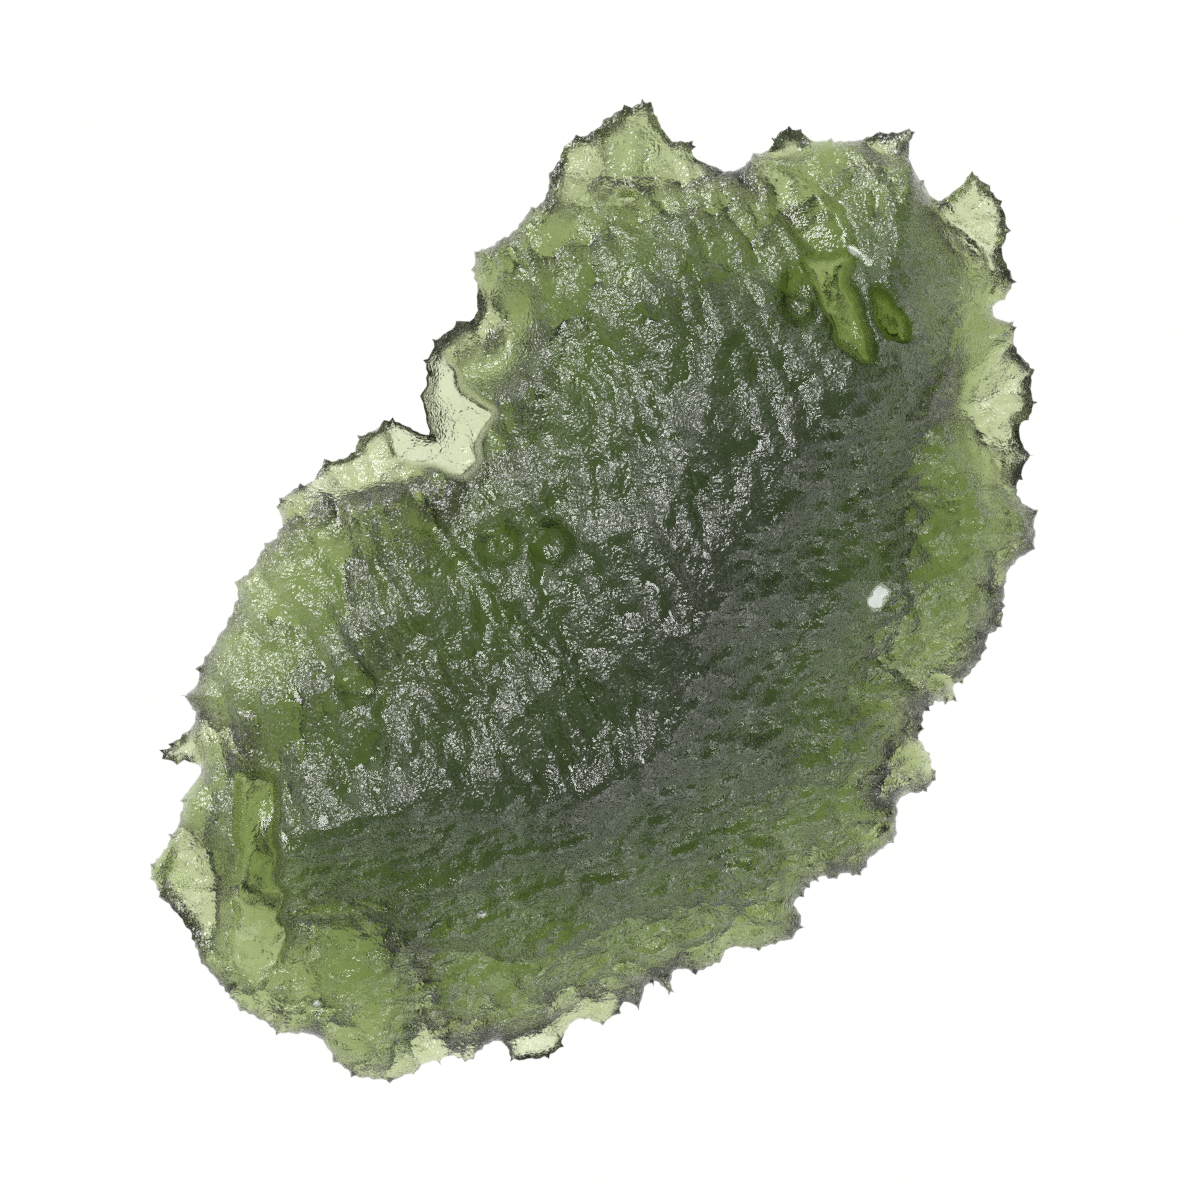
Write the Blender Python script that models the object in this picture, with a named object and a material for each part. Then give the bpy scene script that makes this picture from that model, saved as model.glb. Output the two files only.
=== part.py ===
"""A moldavite: one piece of green natural glass with an etched surface, lying on a small flat spot.

The stone is one closed solid made of two height sheets, an upper and a lower one, that meet along its
jagged rim. It is seen from above with +Y up the picture. Lengths below are in millimetres, and they
become metres when the mesh is made.
"""

import bmesh
import bpy
import numpy as np
from mathutils.geometry import delaunay_2d_cdt

# Scale of the model
MILLIMETRE = 0.001
RIM_UNIT = 0.1

# Spacing of the mesh
RIM_STEP = 0.48
RIM_NUDGE = 0.02
BAND_DEPTH = 0.3
GRID_STEP = 0.6
GRID_JITTER = 0.16
TRIANGULATION_ATTEMPTS = 6

# Heights above the surface that the stone lies on
RIM_HEIGHT = 2.7
RIM_WAVE = 0.5
RIM_WAVE_SIZE = 7.0
EDGE_HALF_THICKNESS = 0.6
EDGE_RUN = 0.45
EDGE_POWER = 1.8
LEAST_THICKNESS = 0.3

# The flat spot under the stone: centre, half lengths and the steepening of the underside around it
FOOT_CENTRE = (1.0, -0.4)
FOOT_RADII = (2.6, 3.4)
UNDERSIDE_POWER = 1.7
FOOT_FADE = 0.18

# Relief: size of a cup and its depth
LUMP_SIZE = 3.1
LUMP_DEPTH = 0.5
KNOB_SIZE = 1.45
KNOB_DEPTH = 0.25
KNOB_STRETCH = 1.7
KNOB_LEAN = np.radians(-68)
SLOPE_CUP_SIZE = 1.15
SLOPE_CUP_STRETCH = 1.6
SLOPE_CUP_DEPTH = 0.32
SLOPE_LEAN = np.radians(14)
UNDERSIDE_LUMP_SIZE = 3.6
UNDERSIDE_LUMP_DEPTH = 0.9
UNDERSIDE_KNOB_SIZE = 1.6
UNDERSIDE_KNOB_DEPTH = 0.45

# The rim, clockwise from the lobe above the notch, in tenths of a millimetre
NORTH_WEST_RIM = [
    (-42, 107), (-43, 110), (-42, 116), (-32, 121), (-29, 123), (-23, 131), (-20, 132), (-18, 135),
    (-17, 142), (-12, 151), (-8, 155), (-3, 156), (-1, 157), (1, 160), (8, 165), (12, 165),
    (14, 167), (17, 166), (23, 154), (27, 153), (31, 153), (32, 151), (31, 148),
]
NORTH_RIM = [
    (43, 143), (47, 144), (51, 149), (57, 151), (57, 154), (60, 156), (63, 158), (67, 157),
    (71, 153), (74, 153), (77, 154), (80, 153), (83, 153), (93, 156), (103, 157), (105, 156),
    (103, 150), (106, 141), (108, 140), (111, 134),
]
NORTH_EAST_RIM = [
    (115, 134), (124, 143), (130, 138), (134, 133), (137, 123), (134, 116), (139, 106), (135, 100),
    (132, 99), (131, 96), (132, 94),
]
EAST_RIM = [
    (138, 93), (139, 91), (138, 88), (139, 84), (145, 77), (144, 69), (146, 66), (143, 60),
    (140, 58), (141, 52), (145, 48), (142, 46), (141, 40), (139, 39), (140, 34), (146, 30),
    (145, 17), (136, 10), (135, -2), (134, -9), (129, -13), (129, -16), (128, -17), (127, -20),
    (121, -28), (118, -28),
]
SOUTH_EAST_RIM = [
    (119, -34), (115, -35), (113, -34), (111, -35), (110, -37), (108, -37), (108, -43), (106, -45),
    (110, -51), (112, -57), (112, -60), (109, -64), (100, -66), (99, -78), (98, -81), (89, -87),
    (89, -89), (87, -92), (84, -92), (82, -91), (79, -93), (76, -93), (74, -92), (73, -94),
    (70, -94), (70, -96), (68, -97), (68, -99), (65, -100),
]
SOUTH_RIM = [
    (67, -105), (67, -107), (68, -109), (64, -113), (53, -117), (48, -116), (43, -116), (40, -121),
    (32, -125), (26, -123), (24, -126), (25, -131), (23, -132), (18, -127), (18, -129), (16, -128),
    (13, -137), (8, -134), (7, -138), (1, -142), (-5, -140), (-8, -140), (-12, -145), (-12, -149),
    (-17, -153), (-30, -154), (-32, -148), (-34, -147), (-37, -148), (-42, -153), (-45, -154),
    (-51, -152), (-53, -155), (-57, -154), (-62, -158), (-70, -161), (-83, -159), (-85, -156),
    (-89, -154), (-91, -149), (-95, -145),
]
SOUTH_WEST_RIM = [
    (-108, -145), (-110, -142), (-117, -138), (-120, -137), (-133, -121), (-138, -109),
    (-147, -99), (-150, -93), (-150, -88), (-144, -81), (-144, -78), (-141, -76), (-140, -71),
    (-139, -69), (-140, -67), (-133, -56),
]
WEST_RIM = [
    (-137, -54), (-141, -55), (-146, -53), (-147, -50), (-143, -49), (-144, -48), (-136, -42),
    (-135, -39), (-138, -33), (-140, -32), (-134, -27), (-135, -23), (-132, -19), (-124, -6),
    (-121, 2), (-122, 6), (-117, 10), (-112, 19), (-109, 20), (-106, 26), (-108, 31), (-107, 34),
    (-100, 39), (-97, 39), (-92, 47), (-87, 47), (-83, 49), (-81, 52), (-81, 55), (-77, 56),
    (-72, 60), (-69, 61),
]
NOTCH_RIM = [
    (-57, 55), (-60, 68), (-58, 74), (-59, 80), (-56, 83), (-56, 87), (-50, 90), (-48, 93),
    (-42, 94), (-41, 98),
]

# The crest, the stone's highest line, as x, y and height, from the north rim round to the south west
CREST = [
    (10.3, 14.4, 5.0), (9.9, 11.9, 6.6), (9.1, 8.9, 8.0), (7.8, 6.7, 9.0), (6.1, 4.3, 9.8),
    (4.1, 1.3, 10.3), (3.1, -1.4, 10.3), (2.7, -4.0, 10.0), (1.3, -5.7, 9.6), (-1.3, -6.3, 9.2),
    (-5.7, -6.8, 8.4), (-9.0, -7.7, 7.4), (-10.4, -8.2, 6.4),
]
CREST_ROUNDING = 0.5
FACE_POWER = 1.05
SLOPE_POWER = 0.9

# What lies on the upper-left side of the crest: the crest itself, closed far outside the rim
FACE_CORNERS = [(-30.0, -9.0), (-30.0, 30.0), (10.6, 30.0)]
FACE_BLEND = 0.7

# Round and oval pits: centre, half lengths, depth
PITS = [
    (6.6, 10.0, 0.7, 1.1, 0.9),
    (-3.3, 1.8, 0.8, 0.8, 0.4),
    (-1.5, 1.8, 0.85, 0.85, 0.45),
    (0.9, 13.2, 0.5, 0.3, 1.1),
    (-8.0, -2.9, 0.7, 0.6, 0.35),
    (-7.5, -5.0, 0.6, 0.7, 0.3),
]

# Thin places: centre, half lengths, and the share of the thickness that is left
THIN_PLACES = [
    (-2.2, -15.0, 1.2, 0.9, 0.35),
    (-14.3, -5.0, 1.0, 0.7, 0.35),
    (-13.4, -9.6, 1.2, 2.0, 0.55),
    (13.3, 6.2, 1.5, 2.4, 0.45),
    (12.9, 12.6, 1.6, 2.2, 0.5),
    (6.2, 15.3, 1.0, 0.7, 0.5),
    (9.8, 15.3, 1.1, 0.7, 0.5),
    (0.6, 14.6, 3.4, 2.8, 0.72),
    (-4.2, 8.8, 2.0, 2.0, 0.6),
    (-8.0, 4.6, 2.2, 1.2, 0.6),
]

# The clear shelf in the notch, cut down almost to a leaf
SHELF = [
    (-7.2, 6.4), (-6.6, 4.8), (-5.3, 4.5), (-4.6, 4.3), (-4.2, 4.7), (-4.3, 5.2), (-4.1, 5.6),
    (-3.7, 6.2), (-4.6, 7.0), (-5.4, 8.0), (-7.0, 8.0),
]

# The smooth gouges: two in a row below the north rim, a short one beside them, one in the west
NORTH_GOUGE = [
    (5.9, 14.2), (6.7, 14.0), (7.2, 13.4), (7.8, 12.8), (8.1, 12.2), (8.1, 11.4), (7.2, 11.4),
    (6.5, 12.2), (5.9, 13.0),
]
BRIGHT_GOUGE = [
    (6.9, 11.2), (8.0, 11.3), (8.2, 10.4), (8.3, 9.7), (8.7, 8.8), (8.8, 8.0), (8.6, 8.0),
    (7.9, 8.8), (7.4, 9.7), (7.2, 10.5),
]
SHORT_GOUGE = [(9.1, 10.0), (9.5, 9.9), (9.9, 9.3), (10.0, 8.7), (9.6, 8.8), (9.2, 9.4)]
WEST_GOUGE = [
    (-11.8, -6.0), (-10.9, -6.0), (-10.9, -7.2), (-10.9, -8.2), (-10.7, -9.7), (-10.6, -11.0),
    (-10.7, -12.0), (-11.5, -12.5), (-12.0, -12.0), (-12.0, -11.0), (-11.9, -9.7), (-11.8, -8.5),
]

# Hollows: outline, the share of the thickness that is left, and the width of the bank around it
HOLLOWS = [
    (SHELF, 0.16, 0.35),
    (NORTH_GOUGE, 0.82, 0.4),
    (BRIGHT_GOUGE, 0.6, 0.28),
    (SHORT_GOUGE, 0.72, 0.25),
    (WEST_GOUGE, 0.74, 0.35),
]
HOLLOW_WOBBLE = 0.16
HOLLOW_WOBBLE_SIZE = 0.7

# The glass
GLASS_COLOUR = (0.25, 0.36, 0.12, 1.0)
GLASS_ROUGHNESS = 0.25
GLASS_IOR = 1.5


def remove_everything():
    for item in list(bpy.data.objects):
        bpy.data.objects.remove(item)


def whole_rim():
    """The rim in millimetres, as one closed loop of points."""
    parts = [
        NORTH_WEST_RIM, NORTH_RIM, NORTH_EAST_RIM, EAST_RIM, SOUTH_EAST_RIM,
        SOUTH_RIM, SOUTH_WEST_RIM, WEST_RIM, NOTCH_RIM,
    ]
    return [(x * RIM_UNIT, y * RIM_UNIT) for part in parts for x, y in part]


def nearest_on_line(x, y, line, closed=False):
    """The distance to a line of points, and how far along it the nearest place is, in points."""
    distance = np.full(x.shape, np.inf)
    along = np.zeros(x.shape)
    ends = line[1:] + line[:1] if closed else line[1:]
    for number, (start, end) in enumerate(zip(line, ends)):
        run_x = end[0] - start[0]
        run_y = end[1] - start[1]
        share = ((x - start[0]) * run_x + (y - start[1]) * run_y) / (run_x**2 + run_y**2)
        share = np.clip(share, 0.0, 1.0)
        reach = np.hypot(x - start[0] - share * run_x, y - start[1] - share * run_y)
        nearer = reach < distance
        distance = np.where(nearer, reach, distance)
        along = np.where(nearer, number + share, along)
    return distance, along


def is_inside(x, y, loop):
    """Whether each point lies inside a closed loop, by counting the sides crossed to its right."""
    inside = np.zeros(x.shape, dtype=bool)
    for (ax, ay), (bx, by) in zip(loop, loop[1:] + loop[:1]):
        if ay == by:
            continue
        crosses = (ay > y) != (by > y)
        crossing_x = ax + (y - ay) * (bx - ax) / (by - ay)
        inside ^= crosses & (x < crossing_x)
    return inside


def ease(value, low, high):
    """A smooth step from 0 at low to 1 at high."""
    share = np.clip((value - low) / (high - low), 0.0, 1.0)
    return share * share * (3.0 - 2.0 * share)


def cell_value(column, row, seed):
    """A repeatable value from 0 to 1 for each cell of a grid."""
    mixed = (column * 374761393 + row * 668265263 + seed * 974634777) & 0xFFFFFFFF
    mixed = ((mixed ^ (mixed >> 13)) * 1274126177) & 0xFFFFFFFF
    mixed = mixed ^ (mixed >> 16)
    return (mixed & 65535) / 65535.0


def waves(x, y, seed):
    """Smooth noise from -1 to 1 that changes over one unit."""
    column = np.floor(x).astype(np.int64)
    row = np.floor(y).astype(np.int64)
    right = ease(x - column, 0.0, 1.0)
    up = ease(y - row, 0.0, 1.0)
    low = cell_value(column, row, seed) * (1 - right) + cell_value(column + 1, row, seed) * right
    high = cell_value(column, row + 1, seed) * (1 - right)
    high = high + cell_value(column + 1, row + 1, seed) * right
    return 2.0 * (low * (1 - up) + high * up) - 1.0


def cups(x, y, seed):
    """Etched cups about one unit across: 0 at a cup's bottom, about 1 on the sharp crest around it."""
    column = np.floor(x).astype(np.int64)
    row = np.floor(y).astype(np.int64)
    nearest = np.full(x.shape, np.inf)
    for step_x in (-1, 0, 1):
        for step_y in (-1, 0, 1):
            place_x = column + step_x + cell_value(column + step_x, row + step_y, seed)
            place_y = row + step_y + cell_value(column + step_x, row + step_y, seed + 1)
            nearest = np.minimum(nearest, np.hypot(place_x - x, place_y - y))
    return np.minimum(1.6 * nearest**2, 1.3)


def turned_cups(x, y, size, stretch, lean, seed):
    """Cups stretched along one direction."""
    long_way = (x * np.cos(lean) + y * np.sin(lean)) / (size * stretch)
    short_way = (y * np.cos(lean) - x * np.sin(lean)) / size
    return cups(long_way, short_way, seed)


def on_face(x, y):
    """1 on the upper-left face, 0 on the slope beyond the crest."""
    crest = [(cx, cy) for cx, cy, height in CREST]
    distance, along = nearest_on_line(x, y, crest)
    signed = np.where(is_inside(x, y, crest + FACE_CORNERS), distance, -distance)
    return ease(signed, -FACE_BLEND, FACE_BLEND)


def in_hollow(x, y, outline, bank):
    """1 inside the uneven outline of a hollow, falling to 0 across the bank around it."""
    distance, along = nearest_on_line(x, y, outline, closed=True)
    signed = np.where(is_inside(x, y, outline), distance, -distance)
    wobble = HOLLOW_WOBBLE * waves(x / HOLLOW_WOBBLE_SIZE, y / HOLLOW_WOBBLE_SIZE, 61)
    return ease(signed + wobble, -bank, 0.0)


def thickness_left(x, y):
    """The share of the thickness that the thin places and the hollows leave."""
    left = np.ones(x.shape)
    for centre_x, centre_y, radius_x, radius_y, share in THIN_PLACES:
        reach = np.hypot((x - centre_x) / radius_x, (y - centre_y) / radius_y)
        left *= 1.0 - (1.0 - share) * (1.0 - ease(reach, 0.5, 1.3))
    for outline, share, bank in HOLLOWS:
        left *= 1.0 - (1.0 - share) * in_hollow(x, y, outline, bank)
    return left


def pitted(x, y):
    """The depth of the pits."""
    depth = np.zeros(x.shape)
    for centre_x, centre_y, radius_x, radius_y, deepest in PITS:
        reach = np.hypot((x - centre_x) / radius_x, (y - centre_y) / radius_y)
        depth += deepest * (1.0 - ease(reach, 0.4, 1.25))
    return depth


def upper_relief(x, y):
    """Lumps everywhere, leaning knobs on the face and flat cups on the slope beyond the crest."""
    lumps = LUMP_DEPTH * (cups(x / LUMP_SIZE, y / LUMP_SIZE, 11) - 0.5)
    knobs = KNOB_DEPTH * (0.5 - turned_cups(x, y, KNOB_SIZE, KNOB_STRETCH, KNOB_LEAN, 23))
    slope_cups = turned_cups(x, y, SLOPE_CUP_SIZE, SLOPE_CUP_STRETCH, SLOPE_LEAN, 37) - 0.5
    face = on_face(x, y)
    return lumps + face * knobs + (1.0 - face) * SLOPE_CUP_DEPTH * slope_cups


def lower_relief(x, y):
    lumps = cups(x / UNDERSIDE_LUMP_SIZE, y / UNDERSIDE_LUMP_SIZE, 51) - 0.5
    knobs = cups(x / UNDERSIDE_KNOB_SIZE, y / UNDERSIDE_KNOB_SIZE, 67) - 0.5
    return UNDERSIDE_LUMP_DEPTH * lumps + UNDERSIDE_KNOB_DEPTH * knobs


def sheet_heights(x, y, rim):
    """The heights of the lower and the upper sheet, and of the rim between them."""
    edge_distance, edge_along = nearest_on_line(x, y, rim, closed=True)
    middle = RIM_HEIGHT + RIM_WAVE * waves(x / RIM_WAVE_SIZE, y / RIM_WAVE_SIZE, 5)
    to_edge = 1.0 - np.minimum(edge_distance / EDGE_RUN, 1.0)
    edge = (1.0 - to_edge**EDGE_POWER) ** (1.0 / EDGE_POWER)

    crest = [(cx, cy) for cx, cy, height in CREST]
    crest_distance, crest_along = nearest_on_line(x, y, crest)
    crest_height = np.interp(crest_along, range(len(CREST)), [height for cx, cy, height in CREST])
    rounded = np.hypot(crest_distance, CREST_ROUNDING) - CREST_ROUNDING
    from_crest = rounded / (rounded + edge_distance + 1e-9)
    power = SLOPE_POWER + (FACE_POWER - SLOPE_POWER) * on_face(x, y)
    top = middle + EDGE_HALF_THICKNESS * edge
    top = top + (crest_height - middle - EDGE_HALF_THICKNESS) * (1.0 - from_crest**power)

    foot_reach = np.hypot((x - FOOT_CENTRE[0]) / FOOT_RADII[0], (y - FOOT_CENTRE[1]) / FOOT_RADII[1])
    foot_distance = np.maximum(foot_reach - 1.0, 0.0) * np.mean(FOOT_RADII)
    from_foot = foot_distance / (foot_distance + edge_distance + 1e-9)
    bottom = (middle - EDGE_HALF_THICKNESS * edge) * from_foot**UNDERSIDE_POWER
    bottom = bottom + lower_relief(x, y) * ease(from_foot, 0.0, FOOT_FADE) * edge
    bottom = np.maximum(bottom, 0.0)

    top = top + upper_relief(x, y) * edge
    top = top - pitted(x, y) * edge
    top = bottom + (top - bottom) * thickness_left(x, y)
    top = np.maximum(top, bottom + LEAST_THICKNESS * edge)
    return bottom, top, middle


def stepped_rim(rim):
    """The rim with its long sides divided, the new points a hair inside them."""
    points = []
    for (ax, ay), (bx, by) in zip(rim, rim[1:] + rim[:1]):
        length = np.hypot(bx - ax, by - ay)
        steps = max(1, round(length / RIM_STEP))
        for n in range(steps):
            nudge = RIM_NUDGE / length if n else 0.0
            points.append((
                ax + (bx - ax) * n / steps + nudge * (by - ay),
                ay + (by - ay) * n / steps - nudge * (bx - ax),
            ))
    return points


def band_points(points, rim):
    """A row of points just inside the rim, one for each of its sides."""
    kept = []
    for (ax, ay), (bx, by) in zip(points, points[1:] + points[:1]):
        length = np.hypot(bx - ax, by - ay)
        kept.append((
            (ax + bx) / 2 + BAND_DEPTH * (by - ay) / length,
            (ay + by) / 2 - BAND_DEPTH * (bx - ax) / length,
        ))
    x, y = np.array(kept).T
    distance, along = nearest_on_line(x, y, rim, closed=True)
    clear = is_inside(x, y, rim) & (distance > 0.8 * BAND_DEPTH)
    return list(zip(x[clear], y[clear]))


def grid_points(rim):
    """A jittered triangular grid over the inside of the rim."""
    low_x, low_y = np.min(rim, axis=0)
    high_x, high_y = np.max(rim, axis=0)
    row_step = GRID_STEP * np.sqrt(0.75)
    columns, rows = np.meshgrid(
        np.arange(int((high_x - low_x) / GRID_STEP) + 2),
        np.arange(int((high_y - low_y) / row_step) + 2),
    )
    x = low_x + GRID_STEP * (columns + 0.5 * (rows % 2))
    x = x + GRID_JITTER * (cell_value(columns, rows, 1) - 0.5)
    y = low_y + row_step * rows + GRID_JITTER * (cell_value(columns, rows, 2) - 0.5)
    x = x.ravel()
    y = y.ravel()
    distance, along = nearest_on_line(x, y, rim, closed=True)
    clear = is_inside(x, y, rim) & (distance > BAND_DEPTH + 0.55 * GRID_STEP)
    return list(zip(x[clear], y[clear]))


def triangulated(edge_points, inner_points):
    """Triangles inside the rim, with no side that joins two rim points across the stone."""
    count = len(edge_points)
    sides = [(n, (n + 1) % count) for n in range(count)]
    for attempt in range(TRIANGULATION_ATTEMPTS):
        places, edges, triangles, origins, *rest = delaunay_2d_cdt(
            edge_points + inner_points, sides, [], 0, 1e-7, True
        )
        corners = np.array([tuple(place) for place in places])[np.array(triangles)]
        centre_x, centre_y = corners.mean(axis=1).T
        inside = is_inside(centre_x, centre_y, edge_points)
        triangles = [abc for abc, kept in zip(triangles, inside) if kept]
        on_rim = [any(n < count for n in origin) for origin in origins]
        uses = {}
        for abc in triangles:
            for side in zip(abc, abc[1:] + abc[:1]):
                uses[frozenset(side)] = uses.get(frozenset(side), 0) + 1
        chords = [tuple(side) for side, used in uses.items() if used == 2 and all(on_rim[n] for n in side)]
        if not chords:
            break
        inner_points = inner_points + [tuple((places[a] + places[b]) / 2) for a, b in chords]
    return places, triangles, on_rim


def stone_mesh():
    """Both sheets as one closed mesh, with the middle of its box over the origin and its foot at 0."""
    rim = whole_rim()
    edge_points = stepped_rim(rim)
    inner_points = band_points(edge_points, rim) + grid_points(rim)
    places, triangles, on_rim = triangulated(edge_points, inner_points)
    x, y = np.array([tuple(place) for place in places]).T
    bottom, top, middle = sheet_heights(x, y, rim)
    centre_x, centre_y = (np.min(rim, axis=0) + np.max(rim, axis=0)) / 2

    shape = bmesh.new()
    uppers = []
    lowers = []
    for n, rim_point in enumerate(on_rim):
        across = ((x[n] - centre_x) * MILLIMETRE, (y[n] - centre_y) * MILLIMETRE)
        height = middle[n] if rim_point else top[n]
        uppers.append(shape.verts.new((*across, height * MILLIMETRE)))
        lowers.append(uppers[n] if rim_point else shape.verts.new((*across, bottom[n] * MILLIMETRE)))
    for a, b, c in triangles:
        shape.faces.new((uppers[a], uppers[b], uppers[c]))
        shape.faces.new((lowers[c], lowers[b], lowers[a]))
    bmesh.ops.recalc_face_normals(shape, faces=shape.faces)
    mesh = bpy.data.meshes.new("moldavite")
    shape.to_mesh(mesh)
    shape.free()
    return mesh


def glass_material():
    material = bpy.data.materials.new("moldavite_glass")
    material.use_nodes = True
    surface = material.node_tree.nodes["Principled BSDF"]
    surface.inputs["Base Color"].default_value = GLASS_COLOUR
    surface.inputs["Roughness"].default_value = GLASS_ROUGHNESS
    surface.inputs["Metallic"].default_value = 0.0
    surface.inputs["IOR"].default_value = GLASS_IOR
    surface.inputs["Transmission Weight"].default_value = 1.0
    return material


def build_moldavite():
    mesh = stone_mesh()
    mesh.materials.append(glass_material())
    stone = bpy.data.objects.new("moldavite", mesh)
    bpy.context.scene.collection.objects.link(stone)


remove_everything()
build_moldavite()
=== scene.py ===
"""The look of the moldavite: the same stone as the solid, with its fine etching, as clear green glass.

The stone is seen from straight above on a lit white table. Lengths are in millimetres until the mesh
is made. The form comes from the same rim, crest, gouges, pits and thin places as the solid's, but the
shelf and three of the gouges are cut somewhat deeper, so that they let more light through.
"""

import bpy
import numpy as np
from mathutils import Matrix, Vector
from mathutils.geometry import delaunay_2d_cdt


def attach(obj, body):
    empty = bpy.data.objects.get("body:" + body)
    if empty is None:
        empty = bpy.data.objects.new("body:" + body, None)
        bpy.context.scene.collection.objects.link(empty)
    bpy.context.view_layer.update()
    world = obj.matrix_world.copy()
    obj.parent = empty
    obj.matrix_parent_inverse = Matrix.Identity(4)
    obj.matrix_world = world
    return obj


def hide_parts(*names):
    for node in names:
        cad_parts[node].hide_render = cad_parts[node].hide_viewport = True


# Scale of the model
MILLIMETRE = 0.001
RIM_UNIT = 0.1

# Spacing of the mesh
RIM_STEP = 0.14
RIM_NUDGE = 0.02
RIM_ROUGHNESS = 0.09
BAND_DEPTHS = (0.06, 0.17, 0.31)
GRID_STEP = 0.136
GRID_JITTER = 0.3
TRIANGULATION_ATTEMPTS = 6

# Heights above the surface that the stone lies on
RIM_HEIGHT = 2.7
RIM_WAVE = 0.5
RIM_WAVE_SIZE = 7.0
EDGE_HALF_THICKNESS = 0.6
EDGE_RUN = 0.45
EDGE_POWER = 1.8
LEAST_THICKNESS = 0.3

# The flat spot under the stone: centre, half lengths and the steepening of the underside around it
FOOT_CENTRE = (1.0, -0.4)
FOOT_RADII = (2.6, 3.4)
UNDERSIDE_POWER = 1.7
FOOT_FADE = 0.18

# Relief: size of a cup and its depth
LUMP_SIZE = 3.1
LUMP_DEPTH = 0.5
KNOB_SIZE = 1.45
KNOB_DEPTH = 0.25
KNOB_STRETCH = 1.7
KNOB_LEAN = np.radians(-68)
SLOPE_CUP_SIZE = 1.15
SLOPE_CUP_STRETCH = 1.6
SLOPE_CUP_DEPTH = 0.32
SLOPE_LEAN = np.radians(14)
UNDERSIDE_LUMP_SIZE = 3.6
UNDERSIDE_LUMP_DEPTH = 0.9
UNDERSIDE_KNOB_SIZE = 1.6
UNDERSIDE_KNOB_DEPTH = 0.45

# The rim, clockwise from the lobe above the notch, in tenths of a millimetre
NORTH_WEST_RIM = [
    (-42, 107), (-43, 110), (-42, 116), (-32, 121), (-29, 123), (-23, 131), (-20, 132), (-18, 135),
    (-17, 142), (-12, 151), (-8, 155), (-3, 156), (-1, 157), (1, 160), (8, 165), (12, 165),
    (14, 167), (17, 166), (23, 154), (27, 153), (31, 153), (32, 151), (31, 148),
]
NORTH_RIM = [
    (43, 143), (47, 144), (51, 149), (57, 151), (57, 154), (60, 156), (63, 158), (67, 157),
    (71, 153), (74, 153), (77, 154), (80, 153), (83, 153), (93, 156), (103, 157), (105, 156),
    (103, 150), (106, 141), (108, 140), (111, 134),
]
NORTH_EAST_RIM = [
    (115, 134), (124, 143), (130, 138), (134, 133), (137, 123), (134, 116), (139, 106), (135, 100),
    (132, 99), (131, 96), (132, 94),
]
EAST_RIM = [
    (138, 93), (139, 91), (138, 88), (139, 84), (145, 77), (144, 69), (146, 66), (143, 60),
    (140, 58), (141, 52), (145, 48), (142, 46), (141, 40), (139, 39), (140, 34), (146, 30),
    (145, 17), (136, 10), (135, -2), (134, -9), (129, -13), (129, -16), (128, -17), (127, -20),
    (121, -28), (118, -28),
]
SOUTH_EAST_RIM = [
    (119, -34), (115, -35), (113, -34), (111, -35), (110, -37), (108, -37), (108, -43), (106, -45),
    (110, -51), (112, -57), (112, -60), (109, -64), (100, -66), (99, -78), (98, -81), (89, -87),
    (89, -89), (87, -92), (84, -92), (82, -91), (79, -93), (76, -93), (74, -92), (73, -94),
    (70, -94), (70, -96), (68, -97), (68, -99), (65, -100),
]
SOUTH_RIM = [
    (67, -105), (67, -107), (68, -109), (64, -113), (53, -117), (48, -116), (43, -116), (40, -121),
    (32, -125), (26, -123), (24, -126), (25, -131), (23, -132), (18, -127), (18, -129), (16, -128),
    (13, -137), (8, -134), (7, -138), (1, -142), (-5, -140), (-8, -140), (-12, -145), (-12, -149),
    (-17, -153), (-30, -154), (-32, -148), (-34, -147), (-37, -148), (-42, -153), (-45, -154),
    (-51, -152), (-53, -155), (-57, -154), (-62, -158), (-70, -161), (-83, -159), (-85, -156),
    (-89, -154), (-91, -149), (-95, -145),
]
SOUTH_WEST_RIM = [
    (-108, -145), (-110, -142), (-117, -138), (-120, -137), (-133, -121), (-138, -109),
    (-147, -99), (-150, -93), (-150, -88), (-144, -81), (-144, -78), (-141, -76), (-140, -71),
    (-139, -69), (-140, -67), (-133, -56),
]
WEST_RIM = [
    (-137, -54), (-141, -55), (-146, -53), (-147, -50), (-143, -49), (-144, -48), (-136, -42),
    (-135, -39), (-138, -33), (-140, -32), (-134, -27), (-135, -23), (-132, -19), (-124, -6),
    (-121, 2), (-122, 6), (-117, 10), (-112, 19), (-109, 20), (-106, 26), (-108, 31), (-107, 34),
    (-100, 39), (-97, 39), (-92, 47), (-87, 47), (-83, 49), (-81, 52), (-81, 55), (-77, 56),
    (-72, 60), (-69, 61),
]
NOTCH_RIM = [
    (-57, 55), (-60, 68), (-58, 74), (-59, 80), (-56, 83), (-56, 87), (-50, 90), (-48, 93),
    (-42, 94), (-41, 98),
]

# The crest, the stone's highest line, as x, y and height, from the north rim round to the south west
CREST = [
    (10.3, 14.4, 5.0), (9.9, 11.9, 6.6), (9.1, 8.9, 8.0), (7.8, 6.7, 9.0), (6.1, 4.3, 9.8),
    (4.1, 1.3, 10.3), (3.1, -1.4, 10.3), (2.7, -4.0, 10.0), (1.3, -5.7, 9.6), (-1.3, -6.3, 9.2),
    (-5.7, -6.8, 8.4), (-9.0, -7.7, 7.4), (-10.4, -8.2, 6.4),
]
CREST_ROUNDING = 0.5
FACE_POWER = 1.05
SLOPE_POWER = 0.9

# What lies on the upper-left side of the crest: the crest itself, closed far outside the rim
FACE_CORNERS = [(-30.0, -9.0), (-30.0, 30.0), (10.6, 30.0)]
FACE_BLEND = 0.7

# Round and oval pits: centre, half lengths, depth
PITS = [
    (6.6, 10.0, 0.7, 1.1, 0.9),
    (-3.3, 1.8, 0.8, 0.8, 0.4),
    (-1.5, 1.8, 0.85, 0.85, 0.45),
    (0.9, 13.2, 0.5, 0.3, 1.1),
    (-8.0, -2.9, 0.7, 0.6, 0.35),
    (-7.5, -5.0, 0.6, 0.7, 0.3),
]

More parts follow.
